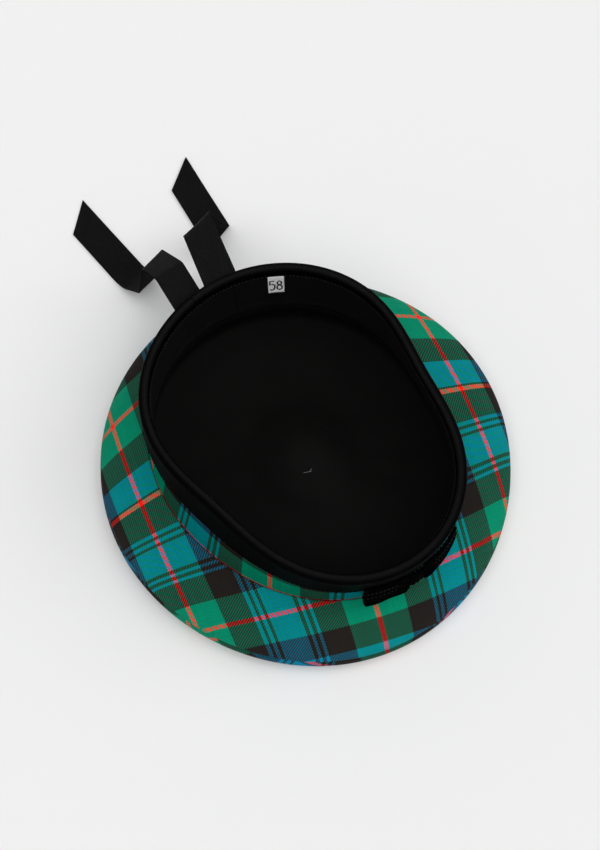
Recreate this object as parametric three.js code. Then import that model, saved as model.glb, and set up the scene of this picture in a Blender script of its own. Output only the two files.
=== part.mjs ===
// A balmoral bonnet lying on its crown, with its mouth up.
// Millimetres. +Z is up, +Y points to the wearer's back, where the ribbon tails are.
import * as THREE from 'three';

// ---------------------------------------------------------------- driving dimensions
const CLOTH = 2; // tartan with its interlining
const SATIN = 1; // lining
const LEATHERETTE = 1.2; // sweatband
const RIBBON_WIDTH = 22;
const RIBBON_THICKNESS = 0.8;
const GAP = 0.3; // between pieces that touch
const SEAM_GAP = 0.4; // the same at seams with the leaning wall

const EDGE_HEIGHT = 15; // seam round the crown's edge
const BAND_FOOT = 36; // seam between crown and headband
const HEADBAND_FOOT = 33; // end of the headband, inside that seam
const RIM_HEIGHT = 82; // top of the binding
const BINDING_DEPTH = 16; // how far the binding comes down outside
const SWEATBAND_FOOT = 41;
const LINING_TOP = 38;
const EDGE_ROUND = 24; // how far in from its edge the crown starts to turn up
const SECTIONS = 48; // round the bonnet

const TOORIE_RADIUS = 21;
const TOORIE_HEIGHT = 20;
const DIMPLE_DEPTH = 20.8; // the crown rises over the toorie, so that it can lie flat
const DIMPLE_RADIUS = 27;
const FLAT_FROM = 44; // outside this radius the crown lies flat

// Outline from above: how far the crown's edge, the headband's foot and the middle of
// the rim lie from the crown's middle, in a direction turned from +X towards +Y.
// Evenly spaced directions, joined by a smooth closed curve.
const OUTLINE = [
  { direction: 0, edge: 130.1, foot: 84, rim: 74.2 },
  { direction: 30, edge: 129.2, foot: 92, rim: 87.5 },
  { direction: 60, edge: 129, foot: 100, rim: 99.7 },
  { direction: 90, edge: 130.6, foot: 104, rim: 103.8 },
  { direction: 120, edge: 131.3, foot: 103, rim: 101.1 },
  { direction: 150, edge: 130.5, foot: 97, rim: 92.4 },
  { direction: 180, edge: 128.8, foot: 90.5, rim: 78 },
  { direction: 210, edge: 128, foot: 90, rim: 78.2 },
  { direction: 240, edge: 130.3, foot: 96.3, rim: 94 },
  { direction: 270, edge: 131.8, foot: 102, rim: 104.4 },
  { direction: 300, edge: 130, foot: 99, rim: 97.6 },
  { direction: 330, edge: 129.3, foot: 89, rim: 80.3 },
];

// Crown underside, outer face: share of the way from the edge in to the headband
const UNDERSIDE = [
  { inward: 0, height: EDGE_HEIGHT + GAP },
  { inward: 0.03, height: 18.2 },
  { inward: 0.09, height: 21 },
  { inward: 0.18, height: 23.6 },
  { inward: 0.33, height: 26.8 },
  { inward: 0.55, height: 30.2 },
  { inward: 0.78, height: 33.3 },
  { inward: 1, height: BAND_FOOT },
];

// Lining, lower face: share of the headband's reach, and how far beyond it
const LINING = [
  { share: 0, beyond: 0, height: 25 },
  { share: 0.12, beyond: 0, height: 24 },
  { share: 0.26, beyond: 0, height: 18 },
  { share: 0.42, beyond: 0, height: 10.5 },
  { share: 0.6, beyond: 0, height: 7 },
  { share: 0.82, beyond: 0, height: 6 },
  { share: 1, beyond: 3, height: 9 },
  { share: 1, beyond: 7, height: 17 },
  { share: 1, beyond: 5, height: 25 },
  { share: 1, beyond: 0, height: 32.3 },
  { share: 1, beyond: 0, height: LINING_TOP },
];

// Layers of the wall, as distances outward from its middle surface
const BAND_OUT = 1.6;
const BAND_IN = BAND_OUT - CLOTH;
const SWEAT_OUT = BAND_IN - GAP;
const SWEAT_IN = SWEAT_OUT - LEATHERETTE;
const BINDING_OUT = 3.1;
const BINDING_IN = -3.2;

// Each ribbon: a place and direction where it leaves the binding, then folds. A fold is
// a bend about a line across the ribbon: after a run, turned by slant from square
// across, bent downward by bend degrees with a radius. The tuck is its sewn end.
const RIBBONS = {
  ribbon_left: {
    at: [-18.9, 114.4, 73.5], yaw: 91.4, pitch: 12.6, roll: 17.3,
    folds: [
      { run: 12.9, slant: 10.2, bend: 41.1, radius: 6 },
      { run: 16, slant: 27, bend: 53.5, radius: 4 },
      { run: 47.3, slant: 34.3, bend: -36.8, radius: 4 },
      { run: 13.5, slant: -7.1, bend: -44.2, radius: 25 },
    ],
    end: { run: 56.3, slant: 40.4 },
  },
  ribbon_right: {
    at: [6.8, 118.4, 74], yaw: 77.2, pitch: -12.1, roll: 6,
    folds: [
      { run: 37.2, slant: 37.3, bend: 76.3, radius: 4 },
      { run: 65, slant: 25.1, bend: -82.7, radius: 3 },
    ],
    end: { run: 59.6, slant: 43.2 },
  },
};
const TUCKS = {
  ribbon_left: { run: 7.5, slant: 7.5, bend: 74.7, radius: 2.5 },
  ribbon_right: { run: 8.6, slant: 13.8, bend: 100.4, radius: 2.5 },
};
const TUCK_LENGTH = 9;
const BEND_STEPS = 6;

// Cockade: a flat bow of the same ribbon, standing against the front of the band.
// Sections along the band from the bow's middle: how far the bow reaches up and down
// from its mid height, and how thick it is at its upper and its lower edge.
const COCKADE_DIRECTION = 273;
const COCKADE_HEIGHT = 55.5;
const COCKADE = {
  cockade_left: [
    { along: -30, rise: 10.8, top: 1.4, foot: 6.2 },
    { along: -24, rise: 10.8, top: 1.4, foot: 6.2 },
    { along: -16, rise: 10.8, top: 1.2, foot: 5.2 },
    { along: -8, rise: 10.4, top: 1, foot: 5.8 },
    { along: -4.3, rise: 8.6, top: 1, foot: 4.8 },
  ],
  cockade_knot: [
    { along: -4, rise: 8, top: 2, foot: 4.2 },
    { along: -2, rise: 8.4, top: 2.4, foot: 4.6 },
    { along: 2, rise: 8.4, top: 2.4, foot: 4.6 },
    { along: 4, rise: 8, top: 2, foot: 4.2 },
  ],
  cockade_right: [
    { along: 4.3, rise: 8.6, top: 1, foot: 4.6 },
    { along: 9, rise: 10.4, top: 1.2, foot: 5.6 },
    { along: 18, rise: 10.8, top: 1.2, foot: 5.1 },
    { along: 27, rise: 10.8, top: 1, foot: 3.9 },
    { along: 33, rise: 10.2, top: 0.8, foot: 2.9 },
  ],
};

const LABEL = { direction: 69, width: 10.5, low: 56.5, high: 74, thickness: 0.6 };

const COLOURS = {
  tartan: { color: 0x0b7a6c, roughness: 0.9 },
  binding: { color: 0x121212, roughness: 0.6 },
  leatherette: { color: 0x1a1a1a, roughness: 0.45 },
  satin: { color: 0x0d0d0d, roughness: 0.5 },
  label: { color: 0xf2f2f2, roughness: 0.8 },
  ribbon: { color: 0x161616, roughness: 0.7 },
  wool: { color: 0x8c1a1a, roughness: 1 },
};

// ---------------------------------------------------------------- shape of the bonnet
const radians = THREE.MathUtils.degToRad;
const LEVEL = new THREE.Vector2(1, 0);
const UP = new THREE.Vector2(0, 1);

// The smooth closed curve through one column of the outline table
function reach(column, angle) {
  const count = OUTLINE.length;
  let sum = 0;
  for (const row of OUTLINE) {
    const away = angle - radians(row.direction);
    const half = Math.sin(away / 2);
    const weight = Math.abs(half) < 1e-9
      ? 1
      : Math.sin((count * away) / 2) / (count * Math.tan(away / 2));
    sum += row[column] * weight;
  }
  return sum;
}

// How far the middle of the upright wall, which leans from foot to rim, is from the axis
function wallReach(angle, height) {
  const up = (height - BAND_FOOT) / (RIM_HEIGHT - BAND_FOOT);
  return THREE.MathUtils.lerp(reach('foot', angle) - BAND_OUT, reach('rim', angle), up);
}

function wallMiddle(angle, height) {
  const radius = wallReach(angle, height);
  return new THREE.Vector3(radius * Math.cos(angle), radius * Math.sin(angle), height);
}

// A point of the wall, moved outward by off
function wallPoint(angle, height, off) {
  const step = 1e-3;
  const along = wallMiddle(angle + step, height).sub(wallMiddle(angle - step, height));
  const outward = new THREE.Vector3(along.y, -along.x, 0).normalize();
  return wallMiddle(angle, height).addScaledVector(outward, off);
}

// The direction at which a point lies, a distance along the wall from a start direction
function turnAlong(start, height, distance) {
  const steps = 16;
  let angle = radians(start);
  for (let i = 0; i < steps; i += 1) {
    const tiny = 1e-3;
    const speed = wallMiddle(angle, height).distanceTo(wallMiddle(angle + tiny, height));
    angle += (distance / steps) * (tiny / speed);
  }
  return angle;
}

// ---------------------------------------------------------------- building solids
// Turns the triangles over if they face inward
function faceOutward(positions, triangles) {
  const [a, b, c] = [new THREE.Vector3(), new THREE.Vector3(), new THREE.Vector3()];
  let volume = 0;
  for (const [i, j, k] of triangles) {
    volume += a.copy(positions[i]).dot(b.copy(positions[j]).cross(c.copy(positions[k])));
  }
  const order = volume < 0 ? triangles.map(([i, j, k]) => [i, k, j]) : triangles;
  const geometry = new THREE.BufferGeometry();
  const numbers = positions.flatMap((p) => [p.x, p.y, p.z]);
  geometry.setAttribute('position', new THREE.Float32BufferAttribute(numbers, 3));
  geometry.setIndex(order.flat());
  geometry.computeVertexNormals();
  return geometry;
}

// Sections of equal length, joined one to the next; round ones close on themselves.
// Every face is split from this section's lower point to the next one's higher point,
// so that twisted walls lying side by side are split the same way.
function loft(sections, round) {
  const count = sections[0].length;
  const triangles = [];
  const last = round ? sections.length : sections.length - 1;
  for (let i = 0; i < last; i += 1) {
    const here = i * count;
    const next = ((i + 1) % sections.length) * count;
    for (let j = 0; j < count; j += 1) {
      const k = (j + 1) % count;
      const rising = sections[i][k].z > sections[i][j].z;
      if (rising) {
        triangles.push([here + j, here + k, next + k], [here + j, next + k, next + j]);
      } else {
        triangles.push([here + j, here + k, next + j], [here + k, next + k, next + j]);
      }
    }
  }
  if (!round) {
    const end = (sections.length - 1) * count;
    for (let j = 1; j < count - 1; j += 1) {
      triangles.push([0, j + 1, j], [end, end + j, end + j + 1]);
    }
  }
  return faceOutward(sections.flat(), triangles);
}

// A body round the vertical axis whose sections start and end on that axis
function dish(sections) {
  const inner = sections.map((section) => section.slice(1, -1));
  const count = inner[0].length;
  const positions = inner.flat();
  const first = positions.push(sections[0][0]) - 1;
  const final = positions.push(sections[0].at(-1)) - 1;
  const triangles = [];
  for (let i = 0; i < inner.length; i += 1) {
    const here = i * count;
    const next = ((i + 1) % inner.length) * count;
    triangles.push([first, here, next], [final, next + count - 1, here + count - 1]);
    for (let j = 0; j < count - 1; j += 1) {
      triangles.push([here + j, here + j + 1, next + j + 1], [here + j, next + j + 1, next + j]);
    }
  }
  return faceOutward(positions, triangles);
}

// A line of {r, z} points and the same line moved to its left, as one closed outline.
// The runs given are the line's directions at its ends, which set how the ends are cut.
function thicken(line, thickness, startRun, endRun) {
  const last = line.length - 1;
  const moved = line.map((point, i) => {
    const before = line[Math.max(i - 1, 0)];
    const after = line[Math.min(i + 1, last)];
    let run = new THREE.Vector2(after.r - before.r, after.z - before.z).normalize();
    if (i === 0) run = startRun;
    if (i === last) run = endRun;
    return { r: point.r - run.y * thickness, z: point.z + run.x * thickness };
  });
  return [...line, ...moved.reverse()];
}

function directions() {
  return Array.from({ length: SECTIONS }, (_, i) => (i * 2 * Math.PI) / SECTIONS);
}

function upright(outline, angle) {
  const [c, s] = [Math.cos(angle), Math.sin(angle)];
  return outline.map(({ r, z }) => new THREE.Vector3(r * c, r * s, z));
}

// ---------------------------------------------------------------- pieces
function crownTop() {
  const dimple = (r) => DIMPLE_DEPTH * Math.exp(-((r / DIMPLE_RADIUS) ** 4));
  const risingRadii = [0, 10, 16, 21, 26, 31, 36];
  const turnSteps = 5;
  return dish(directions().map((angle) => {
    const edge = reach('edge', angle);
    const line = risingRadii.map((r) => ({ r, z: dimple(r) }));
    line.push({ r: FLAT_FROM, z: 0 }, { r: edge - EDGE_ROUND, z: 0 });
    for (let i = 1; i <= turnSteps; i += 1) {
      const turn = (i * Math.PI) / (2 * turnSteps);
      line.push({
        r: edge - EDGE_ROUND * (1 - Math.sin(turn)),
        z: EDGE_HEIGHT * (1 - Math.cos(turn)),
      });
    }
    return upright(thicken(line, CLOTH, LEVEL, UP), angle);
  }));
}

function crownUnderside() {
  return loft(directions().map((angle) => {
    const edge = reach('edge', angle);
    const foot = reach('foot', angle) + SEAM_GAP;
    const lean = wallReach(angle, 1) - wallReach(angle, 0);
    const line = UNDERSIDE.map((row) => (
      { r: THREE.MathUtils.lerp(edge, foot, row.inward), z: row.height }));
    return upright(thicken(line, CLOTH, UP, new THREE.Vector2(-1, lean)), angle);
  }), true);
}

// A band round the wall, from an outline of heights and distances off the middle
function wallBand(outline) {
  return loft(directions().map((angle) => (
    outline.map(([height, off]) => wallPoint(angle, height, off)))), true);
}

// An upright layer of the wall, between two distances off its middle
function wallLayer(foot, top, outside, inside) {
  const heights = [0, 1 / 3, 2 / 3, 1].map((share) => THREE.MathUtils.lerp(foot, top, share));
  const up = heights.map((height) => [height, outside]);
  const down = heights.map((height) => [height, inside]).reverse();
  return wallBand([...up, ...down]);
}

function headband() {
  return wallLayer(HEADBAND_FOOT, RIM_HEIGHT - 2.5, BAND_OUT, BAND_IN);
}

function sweatband() {
  return wallLayer(SWEATBAND_FOOT, RIM_HEIGHT - 4, SWEAT_OUT, SWEAT_IN);
}

function edgeBinding() {
  const foot = RIM_HEIGHT - BINDING_DEPTH;
  const insideFoot = RIM_HEIGHT - 7.5;
  const shoulder = RIM_HEIGHT - 3;
  const hollowTop = RIM_HEIGHT - 2.2;
  const roll = RIM_HEIGHT - 0.7;
  return wallBand([
    [foot, BINDING_OUT], [shoulder, BINDING_OUT], [roll, 2.2], [RIM_HEIGHT, 0], [roll, -2.3],
    [shoulder, BINDING_IN], [insideFoot, BINDING_IN], [insideFoot, SWEAT_IN - GAP],
    [hollowTop, SWEAT_IN - GAP], [hollowTop, BAND_OUT + GAP], [foot, BAND_OUT + GAP]]);
}

function lining() {
  return dish(directions().map((angle) => {
    const line = LINING.map((row) => {
      const wall = wallReach(angle, Math.max(row.height, HEADBAND_FOOT)) + BAND_IN - SEAM_GAP;
      return { r: wall * row.share + row.beyond, z: row.height };
    });
    return upright(thicken(line, SATIN, LEVEL, UP), angle);
  }));
}

function sizeLabel() {
  const { direction, width, low, high, thickness } = LABEL;
  const back = SWEAT_IN - SEAM_GAP;
  return loft([-0.5, 0, 0.5].map((share) => {
    const angle = turnAlong(direction, (low + high) / 2, share * width);
    return [[low, back], [high, back], [high, back - thickness], [low, back - thickness]]
      .map(([height, off]) => wallPoint(angle, height, off));
  }), false);
}

// The straight lines across a ribbon, from its tuck to its end, each with both ends
// and the ribbon's normal there
function rulings(ribbon, tuck) {
  const [yaw, pitch, roll] = [ribbon.yaw, ribbon.pitch, ribbon.roll].map(radians);
  const along = new THREE.Vector3(
    Math.cos(pitch) * Math.cos(yaw), Math.cos(pitch) * Math.sin(yaw), Math.sin(pitch));
  const across = new THREE.Vector3(Math.sin(yaw), -Math.cos(yaw), 0).applyAxisAngle(along, roll);
  const normal = along.clone().cross(across);

  function walk(folds, end, way) {
    const place = new THREE.Matrix4().makeBasis(along, across, normal);
    place.setPosition(...ribbon.at);
    const lines = [];
    let s = 0;
    const put = (slant) => {
      const shift = (Math.tan(radians(slant)) * RIBBON_WIDTH) / 2;
      lines.push({
        left: new THREE.Vector3(s - shift, -RIBBON_WIDTH / 2, 0).applyMatrix4(place),
        right: new THREE.Vector3(s + shift, RIBBON_WIDTH / 2, 0).applyMatrix4(place),
        normal: new THREE.Vector3().setFromMatrixColumn(place, 2),
      });
    };
    for (const fold of folds) {
      const slant = radians(fold.slant);
      const step = (fold.radius * radians(Math.abs(fold.bend))) / BEND_STEPS / Math.cos(slant);
      const hinge = new THREE.Vector3(Math.sin(slant), Math.cos(slant), 0);
      const turn = new THREE.Matrix4().makeRotationAxis(
        hinge, (-way * radians(fold.bend)) / BEND_STEPS);
      s += way * fold.run;
      for (let i = 0; i < BEND_STEPS; i += 1) {
        s += (way * step) / 2;
        put(fold.slant);
        place.multiply(new THREE.Matrix4().makeTranslation(s, 0, 0));
        place.multiply(turn);
        place.multiply(new THREE.Matrix4().makeTranslation(-s, 0, 0));
        s += (way * step) / 2;
      }
    }
    s += way * end.run;
    put(end.slant);
    return lines;
  }

  const sewn = walk([tuck], { run: TUCK_LENGTH, slant: 0 }, -1).reverse();
  return [...sewn, ...walk(ribbon.folds, ribbon.end, 1)];
}

function ribbonTail(name) {
  const half = RIBBON_THICKNESS / 2;
  return loft(rulings(RIBBONS[name], TUCKS[name]).map(({ left, right, normal }) => (
    [[left, half], [right, half], [right, -half], [left, -half]]
      .map(([point, away]) => point.clone().addScaledVector(normal, away)))), false);
}

function cockadePiece(name) {
  const back = BINDING_OUT + GAP;
  return loft(COCKADE[name].map(({ along, rise, top, foot }) => {
    const angle = turnAlong(COCKADE_DIRECTION, COCKADE_HEIGHT, along);
    const outline = [
      [-1, 0], [-1, 0.85 * foot], [-0.9, foot], [0, (top + foot) / 2 + 0.8], [1, top], [1, 0]];
    return outline.map(([up, out]) => (
      wallPoint(angle, COCKADE_HEIGHT + up * rise, back + out)));
  }), false);
}

function toorie() {
  const points = [];
  const steps = 9;
  const middle = TOORIE_HEIGHT / 2;
  for (let i = 0; i <= steps; i += 1) {
    const turn = (i * Math.PI) / steps - Math.PI / 2;
    const r = i % steps === 0 ? 0 : TOORIE_RADIUS * Math.cos(turn) ** 0.7;
    const bulge = Math.sign(Math.sin(turn)) * Math.abs(Math.sin(turn)) ** 0.9;
    points.push(new THREE.Vector2(r, middle * (1 + bulge) + GAP));
  }
  return new THREE.LatheGeometry(points, 20).rotateX(Math.PI / 2);
}

// ---------------------------------------------------------------- assembly
const pieces = [
  ['crown_top', crownTop(), 'tartan'],
  ['crown_underside', crownUnderside(), 'tartan'],
  ['headband', headband(), 'tartan'],
  ['edge_binding', edgeBinding(), 'binding'],
  ['sweatband', sweatband(), 'leatherette'],
  ['lining', lining(), 'satin'],
  ['size_label', sizeLabel(), 'label'],
  ['ribbon_left', ribbonTail('ribbon_left'), 'ribbon'],
  ['ribbon_right', ribbonTail('ribbon_right'), 'ribbon'],
  ['cockade_left', cockadePiece('cockade_left'), 'ribbon'],
  ['cockade_knot', cockadePiece('cockade_knot'), 'ribbon'],
  ['cockade_right', cockadePiece('cockade_right'), 'ribbon'],
  ['toorie', toorie(), 'wool'],
];

const bonnet = new THREE.Group();
for (const [name, geometry, colour] of pieces) {
  const mesh = new THREE.Mesh(geometry, new THREE.MeshStandardMaterial(COLOURS[colour]));
  mesh.name = name;
  bonnet.add(mesh);
}

// The part's origin is the middle of its own box, on the surface it lies on
const box = new THREE.Box3().setFromObject(bonnet);
const middle = box.getCenter(new THREE.Vector3());
bonnet.position.set(-middle.x, -middle.y, -box.min.z);

export default bonnet;
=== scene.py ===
"""A balmoral bonnet lying on its crown, mouth up: its looks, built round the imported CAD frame.

Shapes are worked out in millimetres from the middle of the crown on the floor, with +Y
to the wearer's back, and placed in the frame by `place`.
"""
import math

import bpy
import numpy as np
from mathutils import Matrix, Vector


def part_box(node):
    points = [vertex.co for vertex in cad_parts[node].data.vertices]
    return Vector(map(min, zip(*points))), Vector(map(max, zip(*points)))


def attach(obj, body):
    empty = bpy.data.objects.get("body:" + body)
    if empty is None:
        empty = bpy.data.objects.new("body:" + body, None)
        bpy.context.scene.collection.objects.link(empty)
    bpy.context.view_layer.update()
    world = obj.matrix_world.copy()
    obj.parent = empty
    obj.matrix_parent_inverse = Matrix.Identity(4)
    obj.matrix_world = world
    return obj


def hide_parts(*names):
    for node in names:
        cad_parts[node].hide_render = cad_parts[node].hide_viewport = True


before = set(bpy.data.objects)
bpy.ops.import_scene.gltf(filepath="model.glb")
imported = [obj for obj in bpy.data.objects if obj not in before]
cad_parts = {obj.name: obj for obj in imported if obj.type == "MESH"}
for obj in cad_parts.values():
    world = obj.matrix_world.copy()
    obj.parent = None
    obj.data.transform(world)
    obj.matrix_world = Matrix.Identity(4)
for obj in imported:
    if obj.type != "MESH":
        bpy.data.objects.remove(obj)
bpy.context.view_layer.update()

MM = 0.001

# ---- sizes, as in the CAD
CLOTH = 2.0  # thickness of the tartan with what backs it
GAP = 0.3  # between pieces that are sewn together
EDGE_HEIGHT = 15.0
BAND_FOOT = 36.0
HEADBAND_FOOT = 33.0
RIM_HEIGHT = 82.0
BINDING_DEPTH = 16.0
BINDING_SAG = 5.0  # how much lower the soft braid hangs than its CAD solid
SWEATBAND_FOOT = 41.0
SWEATBAND_THICKNESS = 1.2
LINING_TOP = 38.0
LINING_TUCK = 2.6  # how much higher the soft lining goes, up to the sweatband
EDGE_ROUND = 24.0
SEAM_TUCK = 1.6  # how far the crown's seam is drawn in from its edge
BULGE_HEIGHT = 10.5  # where the crown's top stands out furthest
DIMPLE_DEPTH = 20.8
DIMPLE_RADIUS = 27.0
TOORIE_RADIUS = 21.0
TOORIE_HEIGHT = 20.0
RIBBON_WIDTH = 22.0
RIBBON_THICKNESS = 0.8

# How far the crown's edge, the headband's foot and the rim's middle lie from the crown's
# middle, in evenly spaced directions turned from +X towards +Y
OUTLINE_STEP = 30
OUTLINE = {
    "edge": [130.1, 129.2, 129, 130.6, 131.3, 130.5, 128.8, 128, 130.3, 131.8, 130, 129.3],
    "foot": [84, 92, 100, 104, 103, 97, 90.5, 90, 96.3, 102, 99, 89],
    "rim": [74.2, 87.5, 99.7, 103.8, 101.1, 92.4, 78, 78.2, 94, 104.4, 97.6, 80.3],
}

# Crown underside, outer face: share of the way in from the edge to the headband, height
UNDERSIDE = [
    (0, 15.3), (0.03, 18.2), (0.09, 21), (0.18, 23.6), (0.33, 26.8), (0.55, 30.2),
    (0.78, 33.3), (1, 36),
]

# Lining, lower face: share of the wall's reach, distance beyond it, height
LINING = [
    (0, 0, 25), (0.12, 0, 24), (0.26, 0, 18), (0.42, 0, 10.5), (0.6, 0, 7), (0.82, 0, 6),
    (1, 3, 9), (1, 7, 17), (1, 5, 25), (1, 0, 32.3), (1, 0, LINING_TOP + LINING_TUCK),
]

# Distances outward from the wall's middle surface
BAND_OUT = 1.6
BAND_IN = BAND_OUT - CLOTH
SWEAT_OUT = BAND_IN - GAP
SWEAT_IN = SWEAT_OUT - SWEATBAND_THICKNESS
BINDING_OUT = 3.1
BINDING_IN = -3.2

# ---- tartan
# Threads in each stripe, repeated. Thread number 0 is the middle of the first red line
WARP_STRIPES = [
    ("red", 4), ("green", 24), ("black", 24), ("blue", 3), ("black", 3), ("blue", 3),
    ("black", 3), ("blue", 24), ("black", 3), ("blue", 3), ("black", 3), ("blue", 3),
    ("black", 24), ("green", 24),
]
WEFT_STRIPES = [
    ("red", 4), ("green", 24), ("black", 24), ("blue", 24), ("black", 2), ("red", 4),
    ("black", 26), ("blue", 3), ("black", 3), ("blue", 3), ("black", 3), ("blue", 24),
    ("black", 3), ("blue", 3), ("black", 3), ("blue", 3), ("black", 24), ("green", 24),
]
THREADS = {
    "red": (0.95, 0.016, 0.008),
    "green": (0.001, 0.23, 0.125),
    "black": (0.0155, 0.0125, 0.011),
    "blue": (0.0008, 0.2, 0.34),
}
HALF_RED = 2.0  # threads from the start of the first red line to its middle
WARP_COUNT = sum(width for _, width in WARP_STRIPES)
THREAD_PITCH = 0.7  # millimetres of cloth for one thread of the count
FINE = 1.5  # woven threads to one thread of the count
WEAVE_TURN = math.radians(32)  # from the bonnet's axes to those the weave is given in
MIDDLE_WARP, MIDDLE_WEFT = 149.9, 86.1  # thread numbers at the crown's middle


# ---- shape of the bonnet
def reach(column, angle):
    """Smooth closed curve through one column of the outline."""
    values = OUTLINE[column]
    count = len(values)
    angle = np.asarray(angle, float)
    total = np.zeros_like(angle)
    for k, value in enumerate(values):
        away = (angle - math.radians(k * OUTLINE_STEP) + math.pi) % math.tau - math.pi
        near = np.abs(away) < 1e-7
        safe = np.where(near, 1.0, away)
        weight = np.sin(count * safe / 2) / (count * np.tan(safe / 2))
        total += value * np.where(near, 1.0, weight)
    return total


def wall_reach(angle, height):
    """How far the middle of the leaning wall is from the crown's axis."""
    up = (height - BAND_FOOT) / (RIM_HEIGHT - BAND_FOOT)
    return (reach("foot", angle) - BAND_OUT) * (1 - up) + reach("rim", angle) * up


def wall(angle, height, off):
    """Points of the wall, moved outward by off. All three may be arrays of one shape."""
    angle, height, off = np.broadcast_arrays(
        np.asarray(angle, float), np.asarray(height, float), np.asarray(off, float))

    def middle(a):
        r = wall_reach(a, height)
        return np.stack([r * np.cos(a), r * np.sin(a), height], -1)

    step = 1e-3
    along = middle(angle + step) - middle(angle - step)
    outward = np.stack([along[..., 1], -along[..., 0], np.zeros_like(angle)], -1)
    outward /= np.linalg.norm(outward, axis=-1, keepdims=True)
    return middle(angle) + outward * off[..., None]


def around(count, start=0.0):
    """Evenly spaced directions right round."""
    return start + np.arange(count) * math.tau / count


def pointing(azimuth, elevation):
    """A direction of length 1. Azimuth is from +X towards +Y."""
    flat = math.cos(elevation)
    return Vector((
        flat * math.cos(azimuth), flat * math.sin(azimuth), math.sin(elevation)))


def smooth_table(table, samples):
    """Rows of numbers resampled along a smooth curve through them, evenly by row."""
    rows = np.array(table, float)
    padded = np.vstack([2 * rows[0] - rows[1], rows, 2 * rows[-1] - rows[-2]])
    at = np.linspace(0, len(rows) - 1, samples)
    i = np.minimum(at.astype(int), len(rows) - 2)
    f = (at - i)[:, None]
    a, b, c, d = (padded[i + k] for k in range(4))
    return 0.5 * (2 * b + (c - a) * f + (2 * a - 5 * b + 4 * c - d) * f ** 2
                  + (3 * b - a - 3 * c + d) * f ** 3)


def ripple(angle, lobes, seed):
    """A gentle wave round the bonnet, about -1 to 1, made of a few lobes."""
    dice = np.random.default_rng(seed)
    total = np.zeros_like(np.asarray(angle, float))
    for lobe in lobes:
        total += np.cos(lobe * angle + dice.uniform(0, math.tau)) * dice.uniform(0.6, 1)
    return total / len(lobes)


def smoothstep(low, high, x):
    t = np.clip((np.asarray(x, float) - low) / (high - low), 0, 1)
    return t * t * (3 - 2 * t)


def thicken(line, thickness, start_run=None, end_run=None):
    """A line of (r, z) points and the same line moved to its left, as one outline."""
    line = np.asarray(line, float)
    run = np.gradient(line, axis=0)
    run /= np.linalg.norm(run, axis=1, keepdims=True)
    if start_run is not None:
        run[0] = start_run
    if end_run is not None:
        run[-1] = end_run
    moved = line + np.stack([-run[:, 1], run[:, 0]], -1) * thickness
    return np.vstack([line, moved[::-1]])


CROWN_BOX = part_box("crown_top")


def crown_middle():
    """The crown's middle in the frame, from its box and the outline's own box."""
    angles = around(720)
    edge = reach("edge", angles)
    x, y = edge * np.cos(angles), edge * np.sin(angles)
    low, high = CROWN_BOX
    return Vector((
        (low.x + high.x) / 2 - (x.min() + x.max()) / 2 * MM,
        (low.y + high.y) / 2 - (y.min() + y.max()) / 2 * MM, 0))


MIDDLE = crown_middle()


def place(points):
    """Millimetres from the crown's middle to metres in the frame."""
    return np.asarray(points, float) * MM + np.array(MIDDLE)


# ---- meshes
def add_piece(name, points, faces, material, weave, stands_for=()):
    """A smooth mesh piece that rides on the bonnet, with the cloth's own coordinates."""
    mesh = bpy.data.meshes.new(name)
    mesh.from_pydata(place(points).tolist(), [], faces)
    mesh.update()
    mesh.shade_smooth()
    layer = mesh.attributes.new("weave", "FLOAT_VECTOR", "POINT")
    layer.data.foreach_set("vector", np.asarray(weave, np.float32).ravel())
    piece = bpy.data.objects.new(name, mesh)
    bpy.context.scene.collection.objects.link(piece)
    mesh.materials.append(material)
    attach(piece, "root")
    if stands_for:
        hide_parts(*stands_for)
    return piece


def grid_faces(rows, columns, round_rows, round_columns, first=0):
    """Quads of a grid of points, joined round where asked."""
    row = np.arange(rows if round_rows else rows - 1)
    column = np.arange(columns if round_columns else columns - 1)
    r, c = (v.ravel() for v in np.meshgrid(row, column, indexing="ij"))
    r2, c2 = (r + 1) % rows, (c + 1) % columns
    corners = [(r, c), (r2, c), (r2, c2), (r, c2)]
    quads = np.stack([row_no * columns + column_no for row_no, column_no in corners], -1)
    return (quads + first).tolist()


def turned_out(points, faces):
    """The same body, with its faces turned over if they face into it."""
    volume = 0.0
    for face in faces:
        a, b, c = points[face[0]], points[face[1]], points[face[2]]
        volume += np.dot(a, np.cross(b, c))
        if len(face) == 4:
            volume += np.dot(a, np.cross(c, points[face[3]]))
    return points, [face[::-1] for face in faces] if volume < 0 else faces


def loft(sections, closed):
    """A body through sections of one length, closed round or capped at its ends."""
    sections = np.asarray(sections, float)
    rows, columns = sections.shape[:2]
    points = sections.reshape(-1, 3)
    faces = grid_faces(rows, columns, closed, True)
    if not closed:
        last = (rows - 1) * columns
        faces += [list(range(columns))[::-1], list(range(last, last + columns))]
    return points, faces


def dish(sections):
    """A body round the axis, from sections that start and end on it."""
    sections = np.asarray(sections, float)
    rows = len(sections)
    inner = sections[:, 1:-1]
    columns = inner.shape[1]
    points = np.vstack([inner.reshape(-1, 3), sections[0, :1], sections[0, -1:]])
    faces = grid_faces(rows, columns, True, False)
    first, last = rows * columns, rows * columns + 1
    for i in range(rows):
        j = (i + 1) % rows
        faces.append([first, j * columns, i * columns])
        faces.append([last, i * columns + columns - 1, j * columns + columns - 1])
    return points, faces


def upright(angle, outline):
    """An outline of (r, z) points stood up in one direction from the axis."""
    r, z = outline[:, 0], outline[:, 1]
    return np.stack([r * math.cos(angle), r * math.sin(angle), z], -1)


def weave_at(across, along):
    """The cloth's own coordinates, with their third number, which paints a highlight on black
    cloth, left at none.
    """
    return np.stack([across, along, np.zeros_like(across)], -1)


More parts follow.
